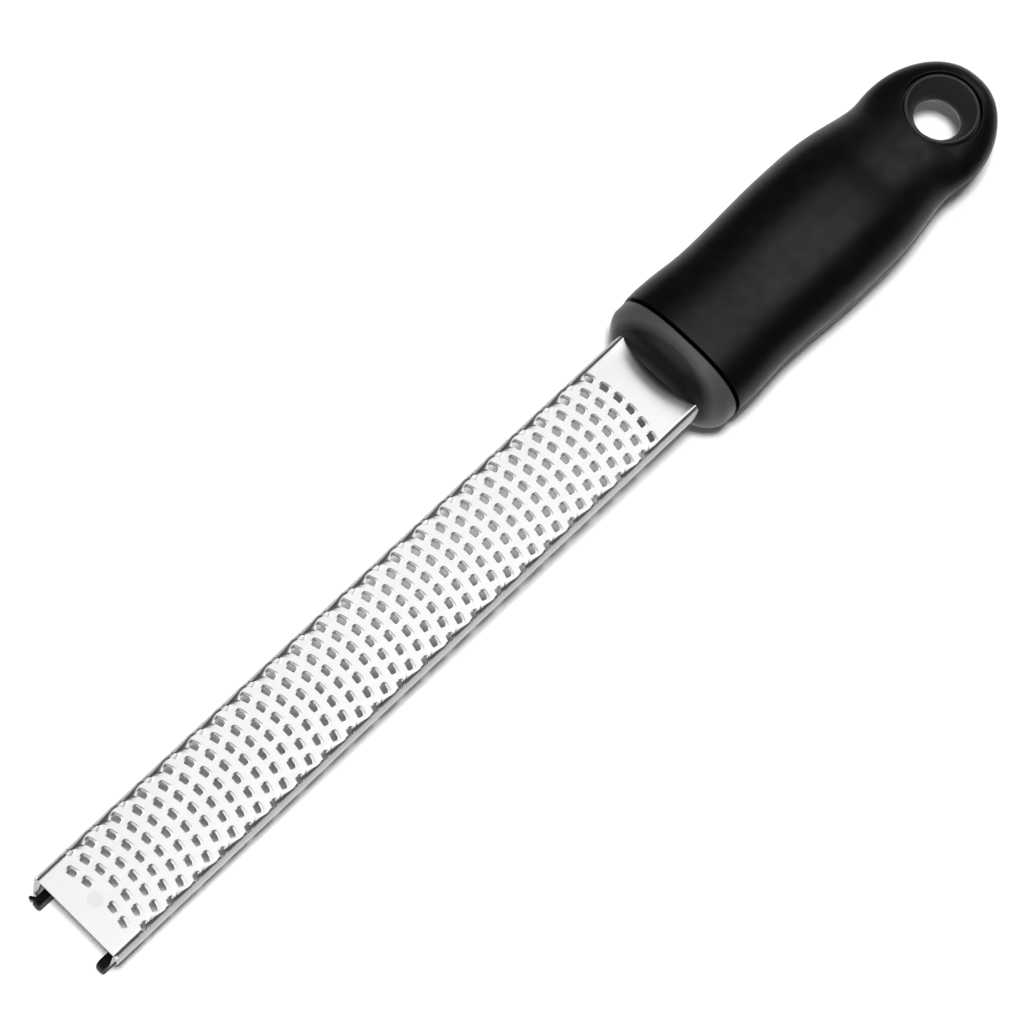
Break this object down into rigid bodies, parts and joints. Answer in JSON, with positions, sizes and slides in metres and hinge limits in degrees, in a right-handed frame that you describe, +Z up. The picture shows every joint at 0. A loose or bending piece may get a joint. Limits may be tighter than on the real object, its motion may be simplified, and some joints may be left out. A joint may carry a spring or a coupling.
{
  "type": "grater",
  "caption": "Long flat rasp grater: a perforated steel channel blade with small rubber feet at its tip, set in an oval soft-grip handle that ends in a hanging eye.",
  "frame": {"origin": "on the table, under the middle of the whole grater's box", "axes": "+X from the blade's tip towards the handle, +Y to the left seen from above with the handle away, +Z up from the table"},
  "size_m": [0.3288, 0.0404, 0.029],
  "materials": {
    "blade_steel": "bright satin",
    "grey_plastic": "satin",
    "core_plastic": "matt",
    "soft_grip": "matt, soft to the touch",
    "foot_rubber": "matt",
    "pin_steel": "plain"
  },
  "bodies": {
    "root": {"blade": "blade_steel", "front_collar": "grey_plastic", "handle_core": "core_plastic", "grip_sleeve": "soft_grip", "hanging_eyelet": "grey_plastic", "foot_left": "foot_rubber", "foot_right": "foot_rubber", "tang_pin_front": "pin_steel", "tang_pin_rear": "pin_steel"}
  },
  "joints": []
}
